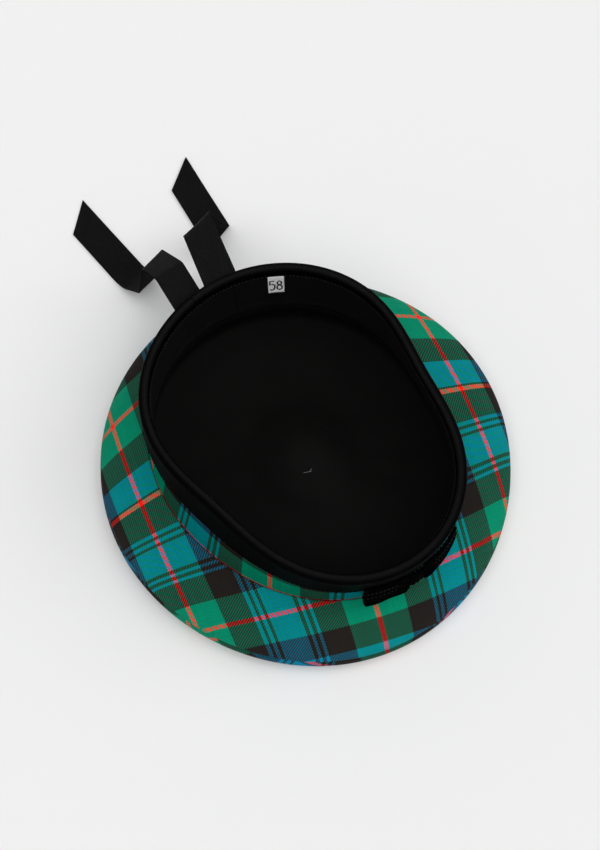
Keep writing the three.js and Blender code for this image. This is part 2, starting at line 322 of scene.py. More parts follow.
# ---- shader helper
class Shader:
    """Builds a material's nodes with few words."""

    def __init__(self, name):
        self.material = bpy.data.materials.new(name)
        self.material.use_nodes = True
        self.tree = self.material.node_tree
        self.surface = self.tree.nodes["Principled BSDF"]

    def node(self, kind, settings=None, inputs=None):
        made = self.tree.nodes.new(kind)
        for key, value in (settings or {}).items():
            setattr(made, key, value)
        for key, value in (inputs or {}).items():
            self.feed(made.inputs[key], value)
        return made

    def feed(self, socket, value):
        if isinstance(value, bpy.types.NodeSocket):
            self.tree.links.new(value, socket)
        elif isinstance(value, (tuple, list)) and len(value) == 3 and socket.type == "RGBA":
            socket.default_value = (*value, 1)
        else:
            socket.default_value = value

    def math(self, operation, *values):
        made = self.node("ShaderNodeMath", {"operation": operation})
        for i, value in enumerate(values):
            self.feed(made.inputs[i], value)
        return made.outputs[0]

    def times(self, a, b):
        return self.math("MULTIPLY", a, b)

    def mix(self, share, a, b):
        made = self.node("ShaderNodeMix", {"data_type": "RGBA"})
        self.feed(made.inputs["Factor"], share)
        self.feed(made.inputs["A"], a)
        self.feed(made.inputs["B"], b)
        return made.outputs["Result"]

    def scaled(self, colour, share):
        made = self.node(
            "ShaderNodeVectorMath", {"operation": "SCALE"}, {0: colour, "Scale": share})
        return made.outputs[0]

    def attribute(self):
        """The cloth's own coordinates as three numbers, and as one vector."""
        read = self.node("ShaderNodeAttribute", {"attribute_name": "weave"})
        parts = self.node("ShaderNodeSeparateXYZ", inputs={0: read.outputs["Vector"]})
        return parts.outputs[0], parts.outputs[1], parts.outputs[2], read.outputs["Vector"]

    def noise(self, vector, scale, detail, roughness=0.5):
        made = self.node("ShaderNodeTexNoise", inputs={
            "Vector": vector, "Scale": scale, "Detail": detail, "Roughness": roughness})
        return made.outputs["Fac"]

    def object_place(self):
        return self.node("ShaderNodeTexCoord").outputs["Object"]

    def bump(self, height, distance, strength):
        made = self.node("ShaderNodeBump", inputs={
            "Height": height, "Distance": distance, "Strength": strength})
        return made.outputs["Normal"]

    def spread(self, value, low, high):
        """Maps 0..1 to low..high."""
        made = self.node("ShaderNodeMapRange", inputs={0: value, 3: low, 4: high})
        return made.outputs[0]

    def set(self, **values):
        """Feeds the surface's inputs, whose names have spaces for the underscores."""
        for key, value in values.items():
            self.feed(self.surface.inputs[key.replace("_", " ")], value)


# ---- materials
def stripe_colour(shader, thread, stripes):
    """Colour of a thread, from its number in the count."""
    period = sum(width for _, width in stripes)
    place_in = shader.math("FLOORED_MODULO", shader.math("ADD", thread, HALF_RED), float(period))
    colour = THREADS[stripes[0][0]]
    start = 0
    for name, width in stripes:
        if start:
            past = shader.math("GREATER_THAN", place_in, float(start))
            colour = shader.mix(past, colour, THREADS[name])
        start += width
    return colour


def woven_number(shader, count):
    """Number of the woven thread that lies at a place in the count."""
    return shader.math("FLOOR", shader.times(count, FINE))


def thread_colour(shader, number, stripes):
    """Colour of a woven thread, read at its middle."""
    middle = shader.math("ADD", number, 0.5)
    return stripe_colour(shader, shader.math("DIVIDE", middle, FINE), stripes)


def contrast_shade(shader, seen, hidden):
    """Lightness of the seen thread: a bright one sinks beside a dark one, and a dark one
    picks up the bright one's fibres."""
    on_top, below = (
        shader.node("ShaderNodeRGBToBW", inputs={0: colour}).outputs[0]
        for colour in (seen, hidden))
    difference = shader.math("SUBTRACT", on_top, below)
    lead = shader.math("DIVIDE", difference, shader.math("ADD", on_top, below))
    lag = shader.times(lead, -1.0)
    sunk = shader.times(shader.math("MAXIMUM", lead, 0.0), THREAD_SINKS)
    fuzzed = shader.times(shader.math("MAXIMUM", lag, 0.0), THREAD_FUZZES)
    return shader.math("ADD", shader.math("SUBTRACT", 1.0, sunk), fuzzed)


def thread_variation(shader, warp_number, weft_number, warp_over):
    """A number from 0 to 1 that differs from one seen thread to the next."""
    weft_over = shader.math("SUBTRACT", 1.0, warp_over)
    seen_number = shader.node("ShaderNodeCombineXYZ", inputs={
        0: shader.times(warp_number, warp_over),
        1: shader.times(weft_number, weft_over),
    }).outputs[0]
    noise = shader.node(
        "ShaderNodeTexWhiteNoise", {"noise_dimensions": "2D"}, {"Vector": seen_number})
    return noise.outputs["Value"]


THREAD_SINKS = 0.51
THREAD_FUZZES = 0.5


def tartan(name, tone, specular, sheen):
    """Two-over-two twill of striped warp and weft; tone scales its lightness, and below 1 it is
    painted shade.
    """
    sh = Shader(name)
    warp, weft, _, vector = sh.attribute()
    warp_number, weft_number = woven_number(sh, warp), woven_number(sh, weft)
    warp_colour = thread_colour(sh, warp_number, WARP_STRIPES)
    weft_colour = thread_colour(sh, weft_number, WEFT_STRIPES)
    diagonal = sh.math("FLOORED_MODULO", sh.math("ADD", warp_number, weft_number), 4.0)
    warp_over = sh.math("LESS_THAN", diagonal, 1.5)
    seen = sh.mix(warp_over, weft_colour, warp_colour)
    hidden = sh.mix(warp_over, warp_colour, weft_colour)

    # each thread, and the wool along it, differ a little
    lightness = sh.times(contrast_shade(sh, seen, hidden), tone)
    differences = [
        (thread_variation(sh, warp_number, weft_number, warp_over), 0.9, 1.1),
        (sh.noise(sh.object_place(), 60.0, 3.0), 0.9, 1.1),
        (sh.noise(vector, 2.3, 2.0, 0.6), 0.55, 1.45),
    ]
    for value, low, high in differences:
        lightness = sh.times(lightness, sh.spread(value, low, high))

    # threads stand up from the cloth and dip where they cross
    across_warp = sh.math("PINGPONG", sh.times(warp, FINE), 0.5)
    across_weft = sh.math("PINGPONG", sh.times(weft, FINE), 0.5)
    thread_form = sh.mix(warp_over, across_weft, across_warp)
    fuzz = sh.noise(vector, 5.0, 3.0, 0.7)
    relief = sh.math("ADD", thread_form, sh.times(fuzz, 0.5))
    sh.set(
        Base_Color=sh.scaled(seen, lightness), Roughness=0.85, Specular_IOR_Level=specular,
        Sheen_Weight=sheen, Sheen_Roughness=0.4, Normal=sh.bump(relief, 0.00015, 0.8))
    return sh.material


RIDGE_HIGHLIGHT_GAIN = 8.0  # how much lighter black cloth is made where a highlight is painted, beside the rest of it


def black_cloth(name, base, roughness, specular, rib, rib_depth):
    """Black cloth. rib is (axis of the weave coordinates, millimetres a rib)."""
    sh = Shader(name)
    across, along, painted_highlight, vector = sh.attribute()
    fibre = sh.noise(vector, 3.0, 3.0, 0.6)
    tone = sh.spread(sh.noise(sh.object_place(), 35.0, 3.0), 0.75, 1.25)
    tone = sh.times(tone, sh.spread(fibre, 0.6, 1.4))
    # lighter where the weave's third number is: a painted highlight
    tone = sh.times(tone, sh.spread(painted_highlight, 1, RIDGE_HIGHLIGHT_GAIN))
    axis, pitch = rib
    run = along if axis else across
    wave = sh.math("SINE", sh.times(run, math.tau / pitch))
    relief = sh.math("ADD", sh.times(fibre, 0.4), sh.times(wave, 0.5))
    sh.set(
        Base_Color=sh.scaled(base, tone), Roughness=roughness, Specular_IOR_Level=specular,
        Normal=sh.bump(relief, rib_depth, 0.8))
    return sh.material


def leatherette():
    """Smooth black coated cloth with a fine grain and soft creases."""
    sh = Shader("sweatband_leatherette")
    _, _, _, vector = sh.attribute()
    cells = sh.node("ShaderNodeTexVoronoi", {"feature": "F1"}, {
        "Vector": vector, "Scale": 1.1, "Randomness": 0.9}).outputs["Distance"]
    creases = sh.noise(sh.object_place(), 90.0, 4.0, 0.55)
    relief = sh.math("ADD", sh.times(cells, 0.6), creases)
    wear = sh.noise(sh.object_place(), 25.0, 3.0)
    sh.set(
        Base_Color=(0.005, 0.005, 0.005), Roughness=sh.spread(wear, 0.32, 0.5),
        Specular_IOR_Level=0.35, Normal=sh.bump(relief, 0.00012, 0.5))
    return sh.material


def plain_cloth(name, colour, roughness, specular):
    """Cloth of one colour with a plain weave's grain, two threads to a millimetre."""
    sh = Shader(name)
    across, along, _, vector = sh.attribute()
    waves = [
        sh.math("SINE", sh.times(run, math.tau * 2)) for run in (across, along)]
    tone = sh.spread(sh.noise(vector, 0.5, 3.0), 0.9, 1.08)
    sh.set(
        Base_Color=sh.scaled(colour, tone), Roughness=roughness, Specular_IOR_Level=specular,
        Normal=sh.bump(sh.times(*waves), 0.00008, 0.6))
    return sh.material


def wool_pile():
    """Cut wool, each strand a little different."""
    sh = Shader("toorie_wool")
    _, _, strand, _ = sh.attribute()
    tone = sh.spread(strand, 0.55, 1.3)
    sh.set(
        Base_Color=sh.scaled((0.34, 0.012, 0.012), tone), Roughness=0.95,
        Specular_IOR_Level=0.1, Sheen_Weight=0.3, Sheen_Roughness=0.5)
    return sh.material


TARTAN = tartan("tartan_twill", 1.0, 0.04, 0.03)
# The headband's tartan: the same twill a quarter darker, painted shade from the binding above it,
# with no specular or sheen
SHADED_BAND_TARTAN = tartan("tartan_painted_shade", 0.75, 0.0, 0.0)
BINDING_CLOTH = black_cloth(
    "binding_braid", (0.0009, 0.0009, 0.0009), 0.4, 0.006, rib=(0, 1.3), rib_depth=0.00012)
LEATHERETTE = leatherette()
SATIN = black_cloth(
    "lining_satin", (0.0042, 0.0042, 0.004), 0.65, 0.03, rib=(0, 0.9), rib_depth=0.00003)
RIBBON_CLOTH = black_cloth(
    "ribbon_rep", (0.0042, 0.0042, 0.0044), 0.6, 0.05, rib=(0, 1.5), rib_depth=0.0003)
# The ribbon's back and edges: a rougher cloth, and darker as painted shade
SHADED_RIBBON_BACK = black_cloth(
    "ribbon_back_painted_shade", (0.0012, 0.0012, 0.0013), 0.8, 0.02, rib=(0, 1.5), rib_depth=0.0002)
COCKADE_CLOTH = black_cloth(
    "cockade_rep", (0.0007, 0.0007, 0.0008), 0.6, 0.003, rib=(1, 1.7), rib_depth=0.0002)
LABEL_CLOTH = plain_cloth("label_cloth", (0.97, 0.97, 0.97), 0.85, 0.2)
PRINT = plain_cloth("label_print", (0.004, 0.004, 0.004), 0.85, 0.05)
THREAD = plain_cloth("sewing_thread", (0.012, 0.012, 0.012), 0.5, 0.2)
DARK_THREAD = plain_cloth("dark_thread", (0.0012, 0.0012, 0.0012), 0.6, 0.02)
RIM_THREAD = plain_cloth("rim_thread", (0.03, 0.03, 0.03), 0.5, 0.3)
TACK = plain_cloth("tack_thread", (0.12, 0.12, 0.12), 0.6, 0.4)
WOOL = wool_pile()


# ---- tartan on the crown
def weave_on_underside(x, y):
    """Thread numbers of the cloth over the crown's underside, as a cubic of the place.

    It holds over most of the underside. Close to the crown's edge it turns back on itself,
    and the lines there bend into rings and arcs that real cloth wouldn't have.
    """
    c, s = math.cos(WEAVE_TURN), math.sin(WEAVE_TURN)
    u, v = (c * x - s * y) / 100, (s * x + c * y) / 100
    far = u * u + v * v
    warp = MIDDLE_WARP + 116.3 * u + 55.2 * v - 4.6 * u * v + 10 * u * far
    weft = (MIDDLE_WEFT + 34.7 * u - 93.2 * v + 5.5 * v * v - 3.9 * u * u - 3.6 * u * v
            - 18 * v * far + 10.3 * u ** 3 - 3.3 * u * v * v)
    return warp, weft


def weave_on_top(angle, run):
    """Thread numbers of the cloth over the crown's top, a run out from its middle."""
    warp_way, weft_way = math.radians(21.8), math.radians(-69.2)
    turned = angle + WEAVE_TURN
    warp = MIDDLE_WARP + run / THREAD_PITCH * np.cos(turned - warp_way)
    weft = MIDDLE_WEFT + run / THREAD_PITCH * np.cos(turned - weft_way)
    return warp, weft


def crown_top_line(angle):
    """Outer line of the crown's top in one direction: flat, curled up, then the lip."""
    edge = float(reach("edge", angle))
    r = np.concatenate([np.linspace(0, 44, 23), np.linspace(46, edge - EDGE_ROUND, 22)])
    puff = 0.5 * ripple(angle, (5, 7, 11), 3) * smoothstep(60, 100, r)
    z = DIMPLE_DEPTH * np.exp(-((r / DIMPLE_RADIUS) ** 4)) + np.abs(puff) * 0.4
    turn = np.linspace(0, math.pi / 2, 17)[1:]
    curl_r = edge - EDGE_ROUND * (1 - np.sin(turn))
    curl_z = BULGE_HEIGHT * (1 - np.cos(turn))
    lip = np.linspace(0, 1, 7)[1:]
    lip_r = edge - SEAM_TUCK * lip ** 2
    lip_z = BULGE_HEIGHT + (EDGE_HEIGHT - BULGE_HEIGHT) * lip
    return np.stack([
        np.concatenate([r, curl_r, lip_r]), np.concatenate([z, curl_z, lip_z])], -1)


def crown_top():
    sections, weave = [], []
    for angle in around(300):
        line = crown_top_line(angle)
        sections.append(upright(angle, thicken(line, CLOTH, (1, 0), (0, 1))))
        run = np.append(0, np.cumsum(np.linalg.norm(np.diff(line, axis=0), axis=1)))
        run = np.append(run, run[::-1])
        weave.append(weave_at(*weave_on_top(angle, run)))
    points, faces = turned_out(*dish(sections))
    weave = np.array(weave)
    flat = np.vstack([weave[:, 1:-1].reshape(-1, 3), weave[0, :1], weave[0, -1:]])
    add_piece("crown_top_cloth", points, faces, TARTAN, flat, ["crown_top"])


def crown_underside():
    table = smooth_table(UNDERSIDE, 56)
    sections = []
    for angle in around(360):
        edge = float(reach("edge", angle))
        foot = float(reach("foot", angle)) + 0.4
        r = edge + (foot - edge) * table[:, 0]
        r = r - SEAM_TUCK * np.exp(-((table[:, 1] - UNDERSIDE[0][1]) / 1.8) ** 2)
        rise = 0.5 * ripple(angle, (4, 7, 9), 8) * smoothstep(0.1, 0.5, table[:, 0])
        rise *= 1 - smoothstep(0.75, 1, table[:, 0])
        line = np.stack([r, table[:, 1] + rise], -1)
        outline = thicken(line, CLOTH, (0, 1), (-1, 0))
        sections.append(upright(angle, outline))
    points, faces = turned_out(*loft(sections, True))
    weave = weave_at(*weave_on_underside(points[:, 0], points[:, 1]))
    add_piece(
        "crown_underside_cloth", points, faces, TARTAN, weave,
        ["crown_underside"])


# ---- pieces of the wall
def arc_lengths(angles, height):
    """Distance along the wall to each angle, from the first."""
    points = wall(angles, height, 0.0)
    steps = np.linalg.norm(np.diff(points, axis=0), axis=1)
    return np.append(0, np.cumsum(steps))


def wall_strip(outline, start, columns, height):
    """A strip right round the wall whose two ends meet at start. Returns points, faces,
    each point's distance along it, and the direction of each section."""
    small = math.radians(0.03)
    angles = np.linspace(start + small, start + math.tau - small, columns)
    outline = np.asarray(outline, float)
    heights = np.broadcast_to(outline[:, 0], (columns, len(outline)))
    offs = np.broadcast_to(outline[:, 1], (columns, len(outline)))
    sections = wall(angles[:, None], heights, offs)
    along = np.repeat(arc_lengths(angles, height), len(outline))
    points, faces = turned_out(*loft(sections, False))
    return points, faces, along, angles


def rounded_layer(foot, top, outside, inside, rows):
    """Outline of an upright layer with rounded edges."""
    half = (outside - inside) / 2
    middle = (outside + inside) / 2
    turn = np.linspace(0, math.pi, 7)
    heights = np.linspace(foot + half, top - half, rows)
    over = [(top - half + half * math.sin(t), middle + half * math.cos(t)) for t in turn]
    under = [(foot + half - half * math.sin(t), middle - half * math.cos(t)) for t in turn]
    up = [(h, outside) for h in heights[1:-1]]
    down = [(h, inside) for h in heights[::-1][1:-1]]
    return np.array(up + over + down + under)


HEADBAND_SEAM = math.radians(96)
HEADBAND_RED = math.radians(224.5)  # where the red line crosses the headband in front
HEADBAND_MEASURE = 46  # height at which the threads are counted along the headband


def headband():
    outline = rounded_layer(HEADBAND_FOOT, RIM_HEIGHT - 2.5, BAND_OUT, BAND_IN, 30)
    points, faces, along, angles = wall_strip(outline, HEADBAND_SEAM, 360, HEADBAND_MEASURE)
    red_at = float(np.interp(HEADBAND_RED, angles, arc_lengths(angles, HEADBAND_MEASURE)))
    warp = WARP_COUNT + (along - red_at) / THREAD_PITCH
    weft = 1 + (points[:, 2] - BAND_FOOT) / THREAD_PITCH
    weave = weave_at(warp, weft)
    add_piece("headband_cloth", points, faces, SHADED_BAND_TARTAN, weave, ["headband"])


def binding_outline():
    """A folded braid over the rim: an outer leg, a rounded top and a short inner leg."""
    foot = RIM_HEIGHT - BINDING_DEPTH - BINDING_SAG
    outer = [
        (foot + 0.3, BAND_OUT + 0.35), (foot, BINDING_OUT - 0.7),
        (foot + 0.5, BINDING_OUT - 0.1)]
    outer += [(h, BINDING_OUT) for h in np.linspace(foot + 2, RIM_HEIGHT - 4, 8)]
    top = []
    for turn in np.linspace(0, math.pi, 13):
        reach_out = 2.9 if turn < math.pi / 2 else 3.5
        height = RIM_HEIGHT - 3.2 + 3.2 * math.sin(turn) ** 0.8
        top.append((height, 0.3 + reach_out * math.cos(turn)))
    inside_foot = RIM_HEIGHT - 7.5
    inner = [(h, BINDING_IN) for h in np.linspace(RIM_HEIGHT - 4.2, inside_foot + 0.6, 4)]
    inner += [(inside_foot, BINDING_IN + 0.4), (inside_foot + 0.2, SWEAT_IN - 0.3)]
    hollow = [(RIM_HEIGHT - 2.2, SWEAT_IN - 0.3), (RIM_HEIGHT - 2.2, BAND_OUT + 0.35)]
    return np.array(outer + top + inner + hollow)


def edge_binding():
    """The braid, with a highlight painted along its ridge."""
    outline = binding_outline()
    points, faces, along, _ = wall_strip(outline, math.radians(100), 420, 80)
    heights, offs = outline.T
    on_top = smoothstep(RIM_HEIGHT - 2, RIM_HEIGHT - 0.8, heights)
    # painted highlight: lighter colour along the top of the ridge, standing in for the light's
    # gleam
    painted_highlight = np.exp(-((offs + 0.6) / 1.5) ** 2) * on_top
    painted_highlight = np.tile(painted_highlight, len(along) // len(outline))
    weave = np.stack([along, points[:, 2], painted_highlight], -1)
    add_piece(
        "edge_binding_braid", points, faces, BINDING_CLOTH, weave,
        ["edge_binding"])


SWEATBAND_SEAM = math.radians(84)


def sweatband():
    """The leatherette band, with a hem rolled at its lower edge and soft waves."""
    outline = rounded_layer(SWEATBAND_FOOT, RIM_HEIGHT - 4, SWEAT_OUT, SWEAT_IN, 26)
    low = smoothstep(SWEATBAND_FOOT + 3.2, SWEATBAND_FOOT + 1.8, outline[:, 0])
    inside = outline[:, 1] < (SWEAT_OUT + SWEAT_IN) / 2
    outline[:, 1] -= np.where(inside, 0.5 * low, 0)
    points, faces, along, angles = wall_strip(outline, SWEATBAND_SEAM, 420, 60)
    turn = np.repeat(angles, len(outline))
    height = points[:, 2]
    sway = 0.5 * ripple(turn, (9, 13, 17, 23), 5) * (1 - smoothstep(60, 76, height))
    inward = -np.stack([np.cos(turn), np.sin(turn), np.zeros_like(turn)], -1)
    points = points + inward * np.abs(sway)[:, None]
    weave = weave_at(along, height)
    add_piece(
        "sweatband_leatherette", points, faces, LEATHERETTE, weave,
        ["sweatband"])


def lining():
    """A thin cloth bowl that rises over the toorie's hollow, with soft folds."""
    table = smooth_table(LINING, 90)
    sections = []
    for angle in around(300):
        band = float(wall_reach(angle, HEADBAND_FOOT)) + BAND_IN - 0.5
        r = np.maximum(band * table[:, 0] + table[:, 1], 0)
        r[0] = 0
        height = table[:, 2].copy()
        folds = 0.7 * ripple(angle, (8, 11, 15, 19), 12) * smoothstep(0.3, 0.6, table[:, 0])
        folds *= 1 - smoothstep(12, 25, height) * (r > 70)
        line = np.stack([r, height + folds], -1)
        outline = thicken(line, 0.9, (1, 0), (0, 1))
        outline[-1, 0] = 0
        sections.append(upright(angle, outline))
    points, faces = turned_out(*dish(sections))
    weave = weave_at(points[:, 0], points[:, 1])
    add_piece("lining_satin", points, faces, SATIN, weave, ["lining"])


# ---- small parts of the wall
def turn_along(start, height, distance):
    """Direction reached by walking a distance along the wall, in radians."""
    angles = start + np.linspace(-0.8, 0.8, 1601)
    lengths = arc_lengths(angles, height)
    lengths = lengths - np.interp(start, angles, lengths)
    return np.interp(distance, lengths, angles)


LABEL_DIRECTION = math.radians(69)
LABEL_WIDTH = 10.5
LABEL_LOW, LABEL_HIGH = 56.5, 74.0
LABEL_THICKNESS = 0.6
LABEL_BACK = SWEAT_IN - 0.4


def label_curl(height):
    """How far the label's free lower end stands out from the sweatband."""
    return 0.35 * smoothstep(LABEL_LOW + 6, LABEL_LOW, height)


def label_turn(distance):
    """Direction at a distance along the wall from the label's middle."""
    return turn_along(LABEL_DIRECTION, 65, distance)


def size_label():
    """The woven label that carries the size, held by the binding."""
    across = np.linspace(-LABEL_WIDTH / 2, LABEL_WIDTH / 2, 13)
    up = np.linspace(LABEL_LOW, LABEL_HIGH, 17)
    angles = label_turn(across)
    back, front = (
        wall(angles[:, None], up[None, :], off - label_curl(up)[None, :])
        for off in (LABEL_BACK, LABEL_BACK - LABEL_THICKNESS))
    sections = np.concatenate([back, front[:, ::-1]], axis=1)
    points, faces = turned_out(*loft(sections, False))
    weave = weave_at(np.repeat(across, 2 * len(up)), points[:, 2])
    add_piece(
        "size_label_cloth", points, faces, LABEL_CLOTH, weave, ["size_label"])


# Strokes of the printed figures in a cell 1 wide and 1.6 high
FIGURES = {
    "5": [[(0.85, 1.6), (0.15, 1.6), (0.1, 0.95), (0.5, 1.05), (0.88, 0.85), (0.92, 0.45),
           (0.7, 0.08), (0.35, 0), (0.08, 0.15)]],
    "8": [[(0.5, 0.87), (0.82, 1.02), (0.84, 1.38), (0.5, 1.6), (0.16, 1.38), (0.18, 1.02),
           (0.5, 0.87), (0.88, 0.65), (0.9, 0.2), (0.5, 0), (0.1, 0.2), (0.12, 0.65),
           (0.5, 0.87)]],
}
FIGURE_SIZE = np.array([3.9, 6.2])  # millimetres for one unit across and up
FIGURE_LOW = LABEL_LOW + 3.1
HALF_STROKE = 0.52


def stroke_edges(stroke, left):
    """The four long edges of a stroke of ink: each side, above the face and under it."""
    line = np.array(stroke) * FIGURE_SIZE
    run = np.gradient(line, axis=0)
    run /= np.maximum(np.linalg.norm(run, axis=1, keepdims=True), 1e-9)
    side = np.stack([-run[:, 1], run[:, 0]], -1) * HALF_STROKE
    edges = []
    for edge in (line + side, line - side):
        angle = label_turn(left - edge[:, 0])
        height = FIGURE_LOW + edge[:, 1]
        off = LABEL_BACK - LABEL_THICKNESS - label_curl(height)
        edges += [wall(angle, height, off - 0.12), wall(angle, height, off + 0.1)]
    return edges


def printed_number(text):
    """Flat strokes of ink lying on the label's face, read from inside the mouth."""
    points, faces = [], []
    for place_no, figure in enumerate(text):
        # seen from inside, the direction falls from left to right
        left = (len(text) / 2 - place_no) * FIGURE_SIZE[0] * 1.2 - 0.2
        for stroke in FIGURES[figure]:
            count = len(stroke)
            first = sum(len(edge) for edge in points)
            points += stroke_edges(stroke, left)
            loop = [first + k * count + np.arange(count) for k in (0, 2, 3, 1)]
            for i in range(count - 1):
                for a, b in zip(loop, loop[1:] + loop[:1]):
                    faces.append([int(a[i]), int(a[i + 1]), int(b[i + 1]), int(b[i])])
            faces.append([int(edge[0]) for edge in loop])
            faces.append([int(edge[-1]) for edge in loop[::-1]])
    points, faces = turned_out(np.concatenate(points), faces)
    weave = weave_at(points[:, 0], points[:, 2])
    add_piece("size_label_print", points, faces, PRINT, weave)


# ---- ribbon tails
# The CAD's folds, turned up to a degree further: runs and radii in millimetres, slants
# and bends in degrees
RIBBONS = {
    "ribbon_left": {
        "at": (-18.9, 114.4, 73.5), "turn": (90.8, 12.6, 17.3),
        "folds": [(12.9, 10.2, 41.1, 6), (16, 27, 53.5, 4), (47.3, 34.3, -36.8, 4),
                  (13.5, -7.1, -44.2, 25)],
        "end": (56.3, 40.4), "tuck": (7.5, 7.5, 74.7, 2.5),
    },
    "ribbon_right": {
        "at": (6.8, 118.4, 74.0), "turn": (78.2, -12.1, 6),
        "folds": [(37.2, 37.3, 76.3, 4), (65, 25.1, -82.7, 3)],
        "end": (59.6, 43.2), "tuck": (8.6, 13.8, 100.4, 2.5),
    },
}
TUCK_LENGTH = 9.0
BEND_STEPS = 12
RIBBON_COLUMNS = 23  # points across a ribbon


def walk(start, folds, end, way):
    """Lines across a ribbon: where both ends are, which way the ribbon faces, the run."""
    here = start.copy()
    lines = []
    run = 0.0

    def put(slant):
        shift = math.tan(math.radians(slant)) * RIBBON_WIDTH / 2
        half = RIBBON_WIDTH / 2
        lines.append((
            np.array(here @ Vector((run - shift, -half, 0))),
            np.array(here @ Vector((run + shift, half, 0))),
            np.array(here.to_3x3() @ Vector((0, 0, 1))), run))

    for length, slant, bend, radius in folds:
        lean = math.radians(slant)
        step = radius * math.radians(abs(bend)) / BEND_STEPS / math.cos(lean)
        hinge = Vector((math.sin(lean), math.cos(lean), 0))
        turn = Matrix.Rotation(-way * math.radians(bend) / BEND_STEPS, 4, hinge)
        run += way * length
        for _ in range(BEND_STEPS):
            run += way * step / 2
            put(slant)
            there = Matrix.Translation(Vector((run, 0, 0)))
            here = here @ there @ turn @ there.inverted()
            run += way * step / 2
    run += way * end[0]
    put(end[1])
    return lines


def ribbon_lines(ribbon):
    yaw, pitch, roll = (math.radians(v) for v in ribbon["turn"])
    along = pointing(yaw, pitch)
    across = Matrix.Rotation(roll, 3, along) @ Vector((math.sin(yaw), -math.cos(yaw), 0))
    normal = along.cross(across)
    start = Matrix((along, across, normal)).transposed().to_4x4()
    start.translation = Vector(ribbon["at"])
    sewn = walk(start, [ribbon["tuck"]], (TUCK_LENGTH, 0), -1)[::-1]
    return sewn + walk(start, ribbon["folds"], ribbon["end"], 1)


def middle_gap(a, b):
    """Distance between the middles of two lines across a ribbon."""
    return np.linalg.norm((a[0] + a[1] - b[0] - b[1]) / 2)


def filled_in(lines):
    """Lines across a ribbon with more between them, so that its long runs can bow."""
    fine = []
    for a, b in zip(lines, lines[1:]):
        parts = max(1, int(middle_gap(a, b) / 3))
        for i in range(parts):
            f = i / parts
            left, right, normal, run = (p * (1 - f) + q * f for p, q in zip(a, b))
            fine.append((left, right, normal / np.linalg.norm(normal), run))
    fine.append(lines[-1])
    return fine


def ribbon_section(line, phase):
    """A section of a thin ribbon with heavier edges, and its weave coordinates."""
    left, right, normal, run = line
    share = np.linspace(0, 1, RIBBON_COLUMNS)
    centre = left + (right - left) * share[:, None]
    wave = np.sin(run / 9 + phase[0] + share * 3) + np.sin(run / 15 + phase[1] - share * 2)
    half = RIBBON_THICKNESS / 2 * 0.8 * (1 + 0.25 * smoothstep(0.42, 0.48, np.abs(share - 0.5)))
    over = centre + normal * (0.16 * wave + half)[:, None]
    under = centre + normal * (0.16 * wave - half)[:, None]
    across = (share - 0.5) * RIBBON_WIDTH
    place_on = weave_at(across, np.full(len(share), run))
    return np.vstack([over, under[::-1]]), np.vstack([place_on, place_on[::-1]])


def ribbon_tail(name):
    """One ribbon as a thin folded sheet, of a duller cloth on its back and edges, darker there as
    painted shade for the folds' undersides.
    """
    lines = ribbon_lines(RIBBONS[name])
    phase = np.random.default_rng(len(name)).uniform(0, math.tau, 2)
    sections, weave = zip(*(ribbon_section(line, phase) for line in filled_in(lines)))
    points, faces = turned_out(*loft(sections, False))
    piece = add_piece(
        f"{name}_rep", points, faces, RIBBON_CLOTH, np.concatenate(weave),
        [name])
    piece.data.materials.append(SHADED_RIBBON_BACK)
    # faces off the upper side, edges too, take the darker back: painted shade
    for face in piece.data.polygons:
        seen_side = all(v % (2 * RIBBON_COLUMNS) >= RIBBON_COLUMNS for v in face.vertices)
        face.material_index = 0 if seen_side else 1


# ---- cockade
COCKADE_DIRECTION = math.radians(273)
COCKADE_HEIGHT = 55.5
# Each row: place along the wall, half of the bow's height, how far its top and its foot
# stand out from the binding
COCKADE = {
    "cockade_left": [
        (-30, 10.8, 1.4, 6.2), (-24, 10.8, 1.4, 6.2), (-16, 10.8, 1.2, 5.2), (-8, 10.4, 1, 5.8),
        (-4.3, 8.6, 1, 4.8)],
    "cockade_knot": [(-4, 8, 2, 4.2), (-2, 8.4, 2.4, 4.6), (2, 8.4, 2.4, 4.6), (4, 8, 2, 4.2)],
    "cockade_right": [
        (4.3, 8.6, 1, 4.6), (9, 10.4, 1.2, 5.6), (18, 10.8, 1.2, 5.1), (27, 10.8, 1, 3.9),
        (33, 10.2, 0.8, 2.9)],
}
COCKADE_BACK = BINDING_OUT + GAP


def pleated(up, pleats, depth):
    """A face of lapped pleats: each rises slowly and drops at its edge."""
    share = (up * 0.5 + 0.5) * pleats
    part = share - np.floor(share)
    return depth * (part - smoothstep(0.86, 1.0, part)) * (1 - smoothstep(0.93, 1, np.abs(up)))


def cockade_front(name, along, up):
    """How far the bow's front stands out from the binding."""
    places, _, tops, feet = np.array(COCKADE[name], float).T
    top, foot = np.interp(along, places, tops), np.interp(along, places, feet)
    out = foot + (top - foot) * (up + 1) / 2 + 0.8 * (1 - up * up)
    if name == "cockade_knot":
        return out + 0.35 * np.sin(along * 2.4) * (1 - up ** 4)
    spread_out = smoothstep(4, 14, abs(along))
    crush = 0.5 * np.sin(along / 3.1 + up * 1.4) * (1 - spread_out)
    return out + pleated(up, 3 + 1.2 * (1 - spread_out), 1.1) + crush


